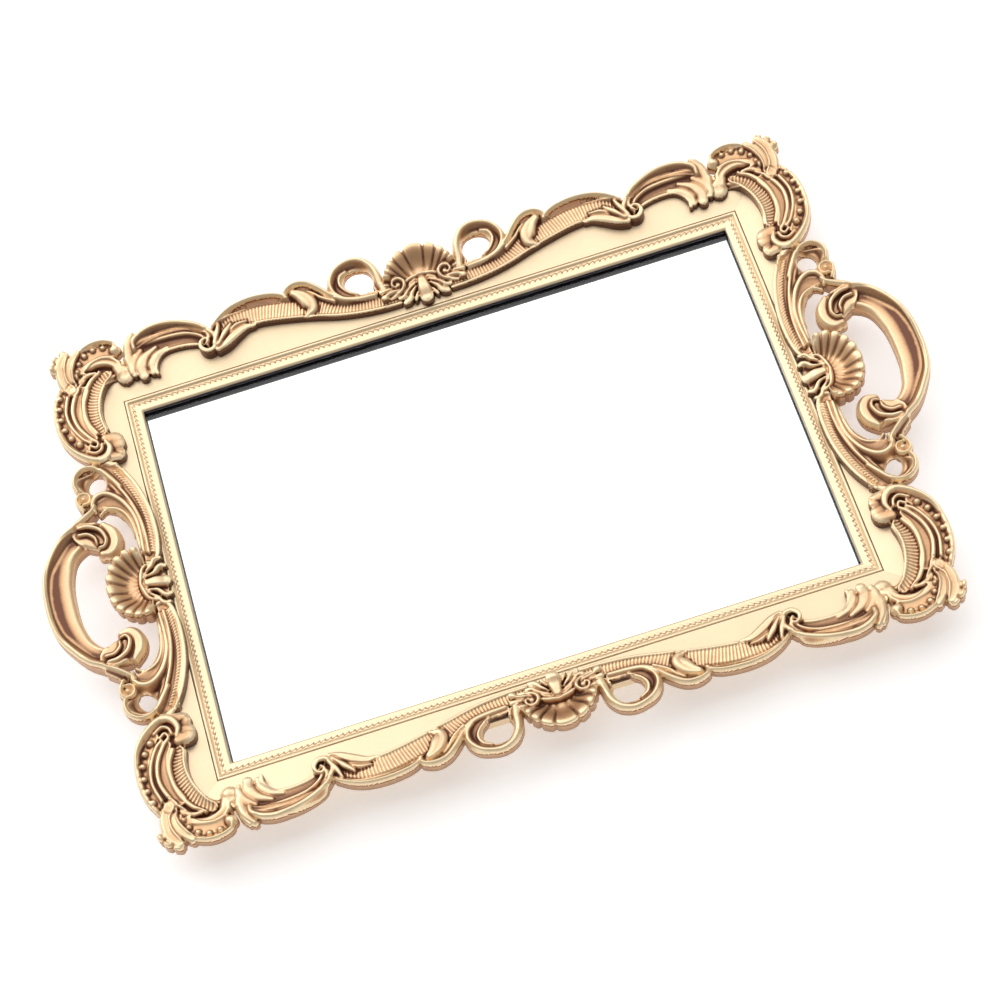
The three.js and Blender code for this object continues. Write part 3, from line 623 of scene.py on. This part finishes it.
# ---- corner cartouche ----
def corner_cartouche():
    r = Relief((131.5, 60), (173.5, 129.5), pull_in=1.5, spread=2.2, lower=1.6)
    r.ground([(138, 103), (142, 107), (147, 105), (151.5, 98), (153, 88), (151, 80), (148, 76), (149, 70),
              (154, 67), (162, 70), (167, 80), (168, 92), (166, 104), (165, 114), (166, 124), (158, 124),
              (150, 126), (142, 124), (138.6, 116), (136, 110)])
    # the ribbed crescent and the fillet inside it
    r.stroke([(145.8, 110.8), (150.3, 107.2), (154, 100.8), (155.8, 93.4), (155.7, 87), (153.8, 81.5)],
             [2, 3.2, 3.6, 3.5, 3.2, 2], [18.8, 19.2, 19.5, 19.6, 19.4, 19],
             [(-1, 0.9), (-0.6, 0.1), (0, -0.25), (0.65, -0.1), (1, 0.1)], ribs=(1.6, 0.4, 0.25))
    r.stroke([(142, 109.6), (146.8, 106.9), (150.6, 100.6), (152.4, 93.4), (152.6, 87.8), (151.6, 82)],
             0.9, [18.4, 18.9, 19.3, 19.5, 19.4, 19.2])
    # two hollows outside it, and the ridges beside them
    # Painted shade in this hollow.
    r.stroke([(157.4, 104), (160.5, 97), (161.6, 90), (160.6, 83), (158, 78)], [2.2, 2.6, 2.6, 2.4, 1.8],
             [21, 21.3, 21.4, 21.2, 20.8], COVE, extra_shading=0.15)
    r.stroke([(163.4, 108), (166.2, 101), (167.3, 94), (167.2, 86), (165.4, 79), (162, 73)],
             [2.4, 2.6, 2.6, 2.6, 2.6, 2.2], [22, 22.6, 22.8, 22.6, 22.2, 21.6], COVE)
    r.stroke([(149, 112.5), (153.8, 108), (157.6, 101.2), (159.2, 93.5), (158.7, 86.5), (156, 80.5)],
             [0.8, 1.1, 1.2, 1.2, 1.1, 0.9], [21, 21.4, 21.8, 21.8, 21.6, 21])
    r.stroke([(154, 113), (158.2, 107.8), (161.4, 101.5), (163.2, 93.8), (162.5, 85.8), (159.5, 78.6),
              (156.8, 75.6)], [0.8, 1, 1.1, 1.1, 1.1, 1, 0.8], [22, 22.6, 23, 23.2, 23, 22.6, 22])
    r.stroke([(163.6, 103), (165.3, 94), (164.5, 86), (162, 79), (159.6, 75.8)], 0.8,
             [23.4, 23.7, 23.7, 23.3, 22.6])
    # the outer crest, which curls in at its foot, and its beads
    r.stroke([(165.4, 107.4), (168.1, 101), (169.5, 93.8), (169.5, 86), (168.1, 78.7), (165.2, 72.6),
              (161, 67.6), (157, 66), (153.5, 67.8), (152, 71.5), (153.2, 75.3)],
             [1, 1.1, 1.2, 1.2, 1.3, 1.6, 2.0, 2.1, 1.9, 1.5, 0.9],
             [24.5, 25.4, 26, 26, 25.8, 25.3, 24.4, 23.4, 22.4, 21.8, 21.2], draft=1.7)
    for x, y in [(168.4, 102.4), (169.5, 96.8), (169.8, 91.1), (169.1, 85.4), (167.2, 80.2), (164.2, 76)]:
        r.dome(x, y, 1.4, 23.4)
    # lines in the curl, and the two lobes of its foot
    r.stroke([(161.5, 72), (158.5, 69.9), (155.8, 71), (154.8, 73.8)], 0.7, [22.8, 22.8, 22.4, 22])
    r.stroke([(160, 74.4), (157.6, 72.8), (156.4, 74.6)], 0.6, [22.4, 22.2, 21.8])
    # Painted shade on the two lobes of the foot.
    r.stroke([(153, 77), (150, 75.5), (149.4, 73.6)], [2.6, 4.2, 4.2], [20.8, 20.4, 19.8], LOBE, depth=1.6,
             extra_shading=0.35)
    r.stroke([(152, 67), (149.6, 67.6), (149, 68.4)], [2.6, 3.2, 3.0], [20.8, 19.8, 19.2], LOBE, depth=1.5,
             extra_shading=0.4)
    # the beaded lobe on the long side: its hollow, crest, beads and end boss
    r.stroke([(141.5, 120.8), (146.4, 121.8), (152.4, 120.1), (157.4, 115.8)], 2.7,
             [22.3, 22.6, 22.6, 22.2], COVE)
    r.stroke([(139, 121.8), (140.4, 125.2), (144.7, 127), (149.8, 127), (154.5, 125), (157.8, 121),
              (159.2, 116.2), (158.8, 111.5)], [0.9, 1.1, 1.1, 1.1, 1.1, 1, 0.9, 0.8],
             [24.8, 25.7, 26.2, 26.2, 26, 25.4, 24.6, 23.6], draft=1.3)
    for x, y in r.fit([(144.6, 124.2), (149.2, 124.4), (153.5, 122.5), (156.8, 118.9), (158, 114.6)]):
        r.dome(x, y, 1.4 if y > 115 else 1.0, 23.2)
    r.dome(139.6, 119.9, 2.7, 23.4, 0.8)
    # the leaf that runs from the field to the tip
    r.stroke([(139, 111.2), (140, 115.2), (143, 118), (147.5, 119), (153.5, 117.4), (159, 113.7)], 1.0,
             [20.5, 21.8, 22.4, 22.6, 22.6, 22.2])
    r.stroke([(138.2, 104.6), (139.7, 110.6), (143.2, 115.4), (148.2, 117.1), (152.7, 116.2),
              (158.6, 113.1)], [1.2, 1.4, 1.5, 1.5, 1.4, 1.2], [18.7, 20.3, 21.3, 21.8, 21.8, 21.6])
    r.stroke([(141, 112), (139, 109.4), (138.2, 107.2)], [2.4, 3.6, 4.0], [20.4, 20.2, 19.2], PETAL,
             depth=1.3, fitted=True)
    r.stroke([(150.8, 112.6), (154.8, 112.1), (158.8, 109.1)], [0.8, 1.5, 0.8], [20.8, 21.4, 21.2],
             over=True)
    # the folds of the tip, and the boss they grow from
    r.fan(154.4, 111.6, 43, [8, 24], [17.4, 16.8], 21.6, 24)
    r.stroke([(156.2, 123.6), (159.6, 119.4), (161.6, 115), (161.8, 111), (160.6, 108)],
             [1.6, 2.3, 2.3, 1.9, 1.2], [24.4, 24.4, 23.8, 22.8, 21.9], RIBBON, over=True, fitted=True)
    r.stroke([(161.4, 124), (164.4, 119.2), (165.6, 114), (165, 109.4), (162.8, 105.8)],
             [1.8, 2.5, 2.5, 2.5, 2.6], [24.4, 24.2, 23.4, 22.6, 21.8], RIBBON, over=True, fitted=True)
    r.dome(161.8, 105.3, 3.1, 21.8, 0.7)
    return r


# ---- side scroll: the short-side ornament between the corner and the side shell ----
def side_scroll():
    r = Relief((139, 6.5), (173.5, 66.5))
    r.ground([(145, 12), (142.8, 20), (143, 34), (146, 48), (151, 59), (160, 61.5), (167, 60.5), (170, 56),
              (166, 49), (164.5, 43), (159, 40), (153, 36), (150.6, 26), (150, 16)])
    # the long hollow, with a line outside it, a ribbed strip and a line inside
    # Painted shade in the long hollow.
    r.stroke([(146.6, 12.5), (145.4, 20), (145, 28), (146.2, 37), (148.7, 46), (152.7, 55), (156.5, 61)],
             [2.5, 3.6, 3.7, 3.8, 3.8, 3.8, 3.0], [17.2, 17.6, 17.9, 18.2, 18.6, 19, 19.3], COVE,
             extra_shading=0.15)
    r.stroke([(151.3, 14), (149.3, 11), (146, 10.2), (143.2, 13.5), (141.9, 20), (141.6, 28), (142.1, 36),
              (143.7, 44.5), (146.7, 53.5), (151.5, 62.5)], 1.0,
             [18, 18, 18, 18.1, 18.4, 18.4, 18.6, 19, 19.6, 20.2])
    r.stroke([(144.3, 15.5), (143.9, 24), (144, 32), (145.4, 41), (148.2, 50), (152.6, 59.5)], 1.3,
             [18.3, 18.5, 18.6, 18.9, 19.5], ribs=(1.5, 0.4, 0.6))
    r.stroke([(146.6, 15), (146.2, 23), (146.6, 31), (148.2, 39), (150.9, 47), (154.9, 55.5)], 0.8,
             [18.9, 19.2, 19.3, 19.6, 20, 20.4])
    # the hollow round the crescent opening, with its crest and a line
    # Painted shade in this hollow.
    r.stroke([(150, 26), (151.5, 34), (154.5, 40.2), (158.5, 43.8), (161.8, 43.4)],
             [1.6, 2, 2.4, 2.6, 2.2], [19, 19.4, 19.8, 20.3, 20.6], COVE, extra_shading=0.35)
    r.stroke([(148.6, 16), (148.1, 26), (148.8, 34), (151.5, 41.3), (155.4, 46.3), (159.5, 48.4),
              (163.3, 47.2), (165.2, 44), (164.6, 40.8)], [0.9, 1, 1.1, 1.1, 1.1, 1.2, 1.2, 1.1, 0.9],
             [19.2, 19.6, 20, 20.8, 21.6, 22.4, 22.8, 22.6, 22], draft=1.6)
    r.stroke([(149.9, 18), (150.2, 28), (151.3, 34.2), (153.7, 38.6), (157.2, 40.8), (160.6, 40.8),
              (163, 39)], 0.8, [18.9, 19.6, 20, 20.4, 20.6, 20.8])
    # the crest round the eye, and a fillet at its foot
    r.stroke([(152, 51), (156, 57.3), (160.5, 62.3), (165.3, 63.2), (169.2, 60.6), (170.6, 56.3),
              (169.8, 52.6)], [1.0, 1.1, 1.2, 1.2, 1.2, 1.2, 1.0], [20.4, 21.6, 22.8, 23.7, 24, 24, 23.4],
             draft=1.4)
    r.stroke([(150, 60.5), (155.5, 64.6), (161, 65.2)], [1.2, 1.6, 1.2], [19.4, 20.4, 21])
    # the crescent opening and the eye
    r.cut([(151.8, 17), (151.4, 27), (152.9, 33.2), (155, 36.4), (157.2, 36.2), (157.4, 31), (156, 25.6),
           (154.4, 20)])
    r.hole(161.6, 55.2, 3.5, 4.6, 35)
    return r


# ---- handle: the loop grip with the husks it grows from ----
def handle():
    r = Relief((153.8, -52.3), (194.8, 52.3), mirrored="y")
    r.ground([(160, 27), (160, 33), (165, 36), (173, 35), (176, 30), (172, 25), (166, 22), (162, 22)], 2.2)
    # the grip: a bright roll along the opening and a dark hollow, under the outer crest
    # Painted light on the roll, painted shade in the hollow beside it.
    r.stroke([(167, 28.6), (172, 29.6), (178, 27.2), (183, 21.4), (186, 12), (186.8, 4), (186.8, -4)],
             [4.0, 4.6, 5.0, 5.4, 5.6, 5.6, 5.6], [20.6, 21, 21.4, 21.8, 22, 22, 22],
             [(-1, -3), (-0.93, -1.4), (-0.75, -0.3), (-0.55, 0), (-0.35, -0.4), (-0.15, -1.2),
              (0.2, -1.0), (0.6, 0.6), (1, 2.8)],
             extra_shading=[(-0.5, -0.15), (-0.2, 0.3), (0.1, 1.2), (0.7, 1.3), (1, 0.8)])
    r.stroke([(166, 34.6), (171.5, 35.3), (175.8, 34.3), (181.2, 30.8), (186.2, 24.4), (190.5, 16.6),
              (192.4, 8), (192.8, 0), (192.4, -8)], [1.1, 1.3, 1.3, 1.3, 1.3, 1.3, 1.3, 1.3, 1.3],
             [22.6, 23.8, 24.8, 25.4, 25.8, 25.9, 25.9, 25.9, 25.9], draft=1.35)
    # the shoulder, its hollow, and the curl it ends in
    r.stroke([(164.2, 46.4), (165, 42.8), (168.6, 39.4), (173.5, 36), (178, 33.2)],
             [1.1, 1.3, 1.4, 1.4, 1.1], [22, 22.4, 23.4, 24.4, 25])
    # Painted shade in the shoulder's hollow.
    r.stroke([(168.2, 42.4), (170.4, 39.8), (174.6, 37)], [1.6, 1.6, 1.1], [20.6, 21.4, 22.4], COVE,
             extra_shading=0.4)
    r.stroke([(168.8, 46), (166.6, 46.2), (165.4, 48.2), (166.2, 50.6), (168.8, 51.4), (171, 49.6),
              (170.8, 46.4), (169.2, 43.4)], [0.8, 0.9, 1, 1.1, 1.1, 1.1, 1.0, 0.9],
             [22.6, 22.4, 22.2, 22.3, 22.5, 22.7, 22.7, 22.6])
    r.dome(168.2, 48.7, 2.1, 22, 0.7)
    # the husk: a round lobe with a carved hollow and two lips over it
    r.stroke([(162.6, 34.4), (160, 30), (159.8, 25), (162.2, 21.2), (165.4, 20.6)],
             [1.8, 3.0, 3.7, 3.8, 2.6], [20.8, 20.8, 20.6, 20.5, 20.2], PETAL, depth=1.7)
    # Painted shade in the husk's hollow.
    r.stroke([(168.8, 31.8), (165.6, 29), (164.8, 25.8)], 1.5, [21, 21.2, 21], COVE, over=True, extra_shading=0.25)
    r.stroke([(173, 34), (168.6, 33.4), (164.4, 30.6), (162.6, 26), (163.8, 22.9), (166.4, 22.8)],
             [1.1, 1.1, 1.0, 0.9, 0.8, 0.7], [24, 23.8, 23.2, 22.6, 22.2, 22], over=True)
    r.stroke([(173.4, 30.6), (169.8, 30.2), (167.2, 27.6), (166.8, 24.8)], [0.9, 0.9, 0.8, 0.6],
             [23.4, 23, 22.6, 22.1], over=True)
    return r


def handle_underside(u, v):
    """The grip's back rises outward, as the whole tray's back does."""
    return np.clip(16.6 + 0.3 * (u - 182), 14.2, 19.4)


# ---- shells ----
def crest_shell():
    r = Relief((-23, 93.5), (23, 130), mirrored="x")
    r.ground([(12, 103), (19, 105), (17, 112), (10, 118), (0, 120), (-10, 118), (-17, 112), (-19, 105),
              (-12, 103), (0, 101)])
    # Painted shade up the dish's lip, painted light at its foot.
    r.fan(0, 106, 90, [16, 36, 51, 63, 74, 84], [19.6, 19.2, 18.4, 17.6, 17.2], 17.8, 24.2, extra_shading=0.5)
    # small petals at each end
    for end_x, end_y in [(17.8, 110.6), (18.6, 107.2), (18.2, 104)]:
        places = [(8 + t * (end_x - 8), 107 + t * (end_y - 107)) for t in (0, 0.5, 1)]
        r.stroke(places, [0.5, 1.3, 1.5], [19.4, 20.8, 21], PETAL, over=True)
    # two lines round the foot of the dish
    r.stroke([(9.6, 105.4), (8.3, 108.2), (5, 110.2), (0, 111), (-1, 111)], [0.6, 0.8, 0.9, 0.9],
             [20.4, 20.8, 20.8, 20.8])
    r.stroke([(8.2, 103.6), (6.8, 106.4), (4, 108.3), (0, 109), (-1, 109)], [0.6, 0.8, 0.9, 0.9],
             [19.8, 20.2, 20.4, 20.4])
    # a volute on each side
    r.stroke([(15.5, 103.6), (11.4, 104.4), (8.6, 106.4), (8.2, 109.2), (10, 111.2), (12.6, 110.8),
              (13.4, 108.6), (11.9, 107.4)], [0.8, 0.9, 0.9, 0.9, 0.9, 0.8, 0.7, 0.6],
             [18.6, 20, 21, 21.8, 22, 21.9, 21.6, 21.2], over=True)
    r.dome(10.9, 108.6, 1.3, 20.8, 0.8)
    # leaves under the dish, and the drop in the middle
    r.stroke([(2.6, 107.6), (6.4, 105.6), (9.4, 103), (11.6, 102.6)], [0.6, 1.0, 1.2, 1.0],
             [19.8, 19.6, 19.2, 18.6], over=True)
    r.stroke([(3, 106), (5.6, 103.6), (7.6, 100.8), (9.8, 100)], [0.6, 1.1, 1.4, 1.2],
             [19.6, 19.4, 18.6, 17.9], over=True)
    r.stroke([(2.4, 104.6), (4, 101.8), (5, 99.8)], [0.5, 0.9, 0.7], [19.2, 18.8, 18], over=True)
    r.stroke([(0, 108), (0, 104), (0, 100.2)], [2.3, 3.0, 3.1], [20.4, 20.2, 18.4], PETAL, over=True)
    return r


def side_shell():
    r = Relief((137.5, -21), (171, 21), mirrored="y")
    r.ground([(146, 14), (152, 15), (158, 12), (162, 6), (163, 0), (162, -6), (158, -12), (152, -15),
              (146, -14), (143, -6), (142, 0), (143, 6)])
    # Painted shade up the dish's lip, painted light at its foot.
    r.fan(149.8, 0, 0, [11, 29, 45, 60, 74, 88], [17.6, 18.0, 18.6, 18.4, 16.8], 17.2, 22.8, extra_shading=0.15)
    # two lines round the foot of the dish
    r.stroke([(147.6, 9), (150.6, 7.6), (152.2, 4), (152.8, 0), (152.8, -1)], [0.6, 0.8, 0.9, 0.9],
             [19.6, 20, 20.2, 20.2])
    r.stroke([(146.4, 7.6), (149, 6.4), (150.6, 3.4), (151.1, 0), (151.1, -1)], [0.6, 0.8, 0.9, 0.9],
             [18.8, 19.4, 19.7, 19.7])
    # leaves under the dish, and the drop in the middle
    r.stroke([(149.6, 3.4), (146.6, 4.4), (144, 7.2), (141.6, 7)], [0.6, 1.1, 1.3, 1.0],
             [19.4, 19, 18.4, 17.6], over=True)
    r.stroke([(149.4, 6), (147, 8.4), (145.4, 11), (143, 11.2)], [0.6, 1.0, 1.2, 0.9],
             [19.4, 19, 18.6, 18], over=True)
    r.stroke([(150, 0), (146.4, 0), (142.8, 0)], [2.0, 2.6, 2.7], [19.8, 19.4, 17.6], PETAL, over=True)
    return r


# ---- the smooth frame and the sight moulding ----
def sight_moulding():
    """A ring along the opening: a bead, a slope of small leaves, a groove and an outer fillet."""
    section = [(0, 9.6), (0, 11.3), (0.25, 11.9), (0.8, 12.35), (1.4, 12.5), (2.0, 12.6), (2.6, 12.75),
               (3.2, 12.9), (3.8, 13.05), (4.3, 13.1), (4.7, 13.0), (5.0, 12.8), (5.25, 12.8), (5.5, 13.2),
               (5.8, 13.6), (6.2, 13.75), (6.6, 13.75), (6.9, 13.5), (7.0, 13.0), (7.0, 9.6)]
    section = smooth_curve([(o, z, 0) for o, z in section], spacing=0.3)[:, :2]
    out, level = section[:, 0], section[:, 1]
    pitch = 2.45
    rows = []
    dark = []
    for half_length, half_width, turn in [(SIGHT_X, SIGHT_Y, 0), (SIGHT_Y, SIGHT_X, 1), (SIGHT_X, SIGHT_Y, 2),
                                          (SIGHT_Y, SIGHT_X, 3)]:
        count = int(2 * half_length / 0.33)
        for k in range(count):
            share = -1 + 2 * k / count
            place = share * (half_length + out)
            gap = half_length + out - np.abs(place)
            waves = round(half_length / pitch)
            phase = (np.abs(place) / (half_length + out)) * waves
            wave = np.abs(np.sin(np.pi * phase))
            band = np.clip(1 - np.abs(out - 3.1) / 1.5, 0, 1) * (level > 11)
            tooth = -0.45 * np.exp(-((out - 3.2 - 1.1 * wave) / 0.32) ** 2)
            carve = tooth - 0.12 * (1 - wave) * band
            z = level + carve * np.clip(gap / 1.5 - 0.4, 0, 1)
            flat = np.stack([place, -(half_width + out)], 1)
            for _ in range(turn):
                flat = np.stack([-flat[:, 1], flat[:, 0]], 1)
            rows.append(np.column_stack([flat, z]))
            # Painted shade in the carved teeth and along the groove, a thin darker line 1.6 mm out, and the
            # inner wall under 11.4 mm painted near black.
            lines = 0.7 * np.exp(-((out - 5.1) / 0.3) ** 2) + 0.2 * np.exp(-((out - 1.6) / 0.25) ** 2)
            dark.append(-2.8 * carve + lines - 0.75 + 1.7 * (z < 11.4))
    rings, size = len(rows), len(out)
    k, i = np.meshgrid(np.arange(rings), np.arange(size), indexing="ij")
    a = k * size + i
    b = k * size + (i + 1) % size
    c = ((k + 1) % rings) * size + (i + 1) % size
    d = ((k + 1) % rings) * size + i
    faces = np.stack([a, d, c, b], -1).reshape(-1, 4)
    return np.vstack(rows), faces, np.clip(np.concatenate(dark), -1, 1.2)


def slab(half_x, half_y, bottom, top, bevel):
    """A plate with small bevels all round."""
    rings = [(bevel, bottom), (0, bottom + bevel), (0, top - bevel), (bevel, top)]
    points = []
    for inset, z in rings:
        for sx, sy in [(-1, -1), (1, -1), (1, 1), (-1, 1)]:
            points.append((sx * (half_x - inset), sy * (half_y - inset), z))
    faces = [(3, 2, 1, 0), (12, 13, 14, 15)]
    for level in range(3):
        for k in range(4):
            a, b = level * 4 + k, level * 4 + (k + 1) % 4
            faces.append((a, b, b + 4, a + 4))
    return points, faces


QUARTERS = {"front_left": (-1, -1), "front_right": (1, -1), "back_left": (-1, 1), "back_right": (1, 1)}
FRONT_AND_BACK = {"front": (1, -1), "back": (1, 1)}
LEFT_AND_RIGHT = {"left": (-1, 1), "right": (1, 1)}


def place(node, relief, sides_by_name, underside=over_field):
    """Makes the carved piece once for each of its places, mirrored there, instead of the plain solid."""
    vertices, faces, dark = relief.surface(underside)
    for where, sides in sides_by_name.items():
        piece = make_piece(f"carved_{node}_{where}", vertices, faces, GILT, dark, sides)
        stand_in(piece, "gilt", f"{node}_{where}")


place("garland", garland(), QUARTERS)
place("corner_cartouche", corner_cartouche(), QUARTERS)
place("side_scroll", side_scroll(), QUARTERS)
place("crest_shell", crest_shell(), FRONT_AND_BACK)
place("side_shell", side_shell(), LEFT_AND_RIGHT)
place("handle", handle(), LEFT_AND_RIGHT, handle_underside)

vertices, faces, dark = sight_moulding()
stand_in(make_piece("carved_sight_moulding", vertices, faces, GILT_SIGHT, dark), "gilt", "sight_moulding")

glass_low, glass_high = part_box("mirror_glass")
half_x, half_y = glass_high[0] / MM, glass_high[1] / MM
bottom, top = glass_low[2] / MM, glass_high[2] / MM
points, faces = slab(half_x, half_y, bottom + 0.3, top, 0.25)
stand_in(make_piece("mirror_glass_plate", points, faces, GLASS, smooth=False), "mirror", "mirror_glass")
points, faces = slab(half_x, half_y, bottom, bottom + 0.25, 0.05)
stand_in(make_piece("mirror_silvering", points, faces, SILVER, smooth=False), "mirror", "mirror_glass")


def recolour(node, material):
    """A CAD node that stays as it is gets the finished material."""
    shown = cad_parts[node]
    for k in range(len(shown.material_slots)):
        shown.material_slots[k].material = material


recolour("frame_base", GILT_FIELD)
recolour("mirror_liner", FOAM)
recolour("back_board", HARDBOARD)
for number in range(1, 9):
    recolour(f"board_screw_{number}", ZINC)
for number in range(1, 7):
    recolour(f"rubber_foot_{number}", RUBBER)


# ---- floor, light and camera ----
def floor():
    mesh = bpy.data.meshes.new("floor")
    half, height = 4.0, -0.0002
    corners = [(-half, -half, height), (half, -half, height), (half, half, height), (-half, half, height)]
    mesh.from_pydata(corners, [], [(0, 1, 2, 3)])
    material, nodes, links, shader = new_material("pale_paper")
    grain = noise(nodes, links, 400, 3)
    ramp = colour_ramp(nodes, [(0.3, (0.93, 0.93, 0.93)), (0.7, (0.95, 0.95, 0.95))])
    links.new(grain.outputs["Fac"], ramp.inputs["Fac"])
    links.new(ramp.outputs["Color"], shader.inputs["Base Color"])
    shader.inputs["Roughness"].default_value = 0.9
    shader.inputs["Emission Color"].default_value = (1, 1, 1, 1)
    shader.inputs["Emission Strength"].default_value = 0.38
    mesh.materials.append(material)
    piece = bpy.data.objects.new("floor", mesh)
    bpy.context.collection.objects.link(piece)


def softbox(name, place, aim, size, power):
    data = bpy.data.lights.new(name, "AREA")
    data.shape = "RECTANGLE"
    data.size, data.size_y = size
    data.energy = power
    lamp = bpy.data.objects.new(name, data)
    lamp.location = place
    lamp.rotation_euler = (Vector(aim) - Vector(place)).to_track_quat("-Z", "Y").to_euler()
    bpy.context.collection.objects.link(lamp)


def light():
    world = bpy.data.worlds.new("studio")
    bpy.context.scene.world = world
    world.use_nodes = True
    background = world.node_tree.nodes["Background"]
    background.inputs["Color"].default_value = (1, 1, 1, 1)
    background.inputs["Strength"].default_value = 0.36
    softbox("overhead", (0.0, 1.0, 1.6), (0.0, 0.8, 0), (3.6, 2.6), 37)
    softbox("back_left", (-0.9, 1.3, 0.9), (0, 0, 0), (0.7, 0.7), 6)


def camera():
    """Looks down over the tray's front edge, from the left of its middle, and is rolled."""
    eye = Vector((-23.9, -609.2, 995.7)) * MM
    heading, pitch, roll = math.radians(2.543), math.radians(58.616), math.radians(-15.294)
    level = math.cos(pitch)
    forward = Vector((math.sin(heading) * level, math.cos(heading) * level, -math.sin(pitch)))
    level_right = forward.cross(Vector((0, 0, 1))).normalized()
    level_up = level_right.cross(forward)
    right = level_right * math.cos(roll) + level_up * math.sin(roll)
    up = right.cross(forward)
    data = bpy.data.cameras.new("camera")
    data.sensor_width = 36
    data.lens = 97.64
    data.clip_start = 0.05
    eye_object = bpy.data.objects.new("camera", data)
    turn = Matrix((right, up, -forward)).transposed().to_4x4()
    eye_object.matrix_world = Matrix.Translation(eye) @ turn
    bpy.context.collection.objects.link(eye_object)
    bpy.context.scene.camera = eye_object


floor()
light()
camera()
bpy.context.scene.view_settings.view_transform = "Standard"
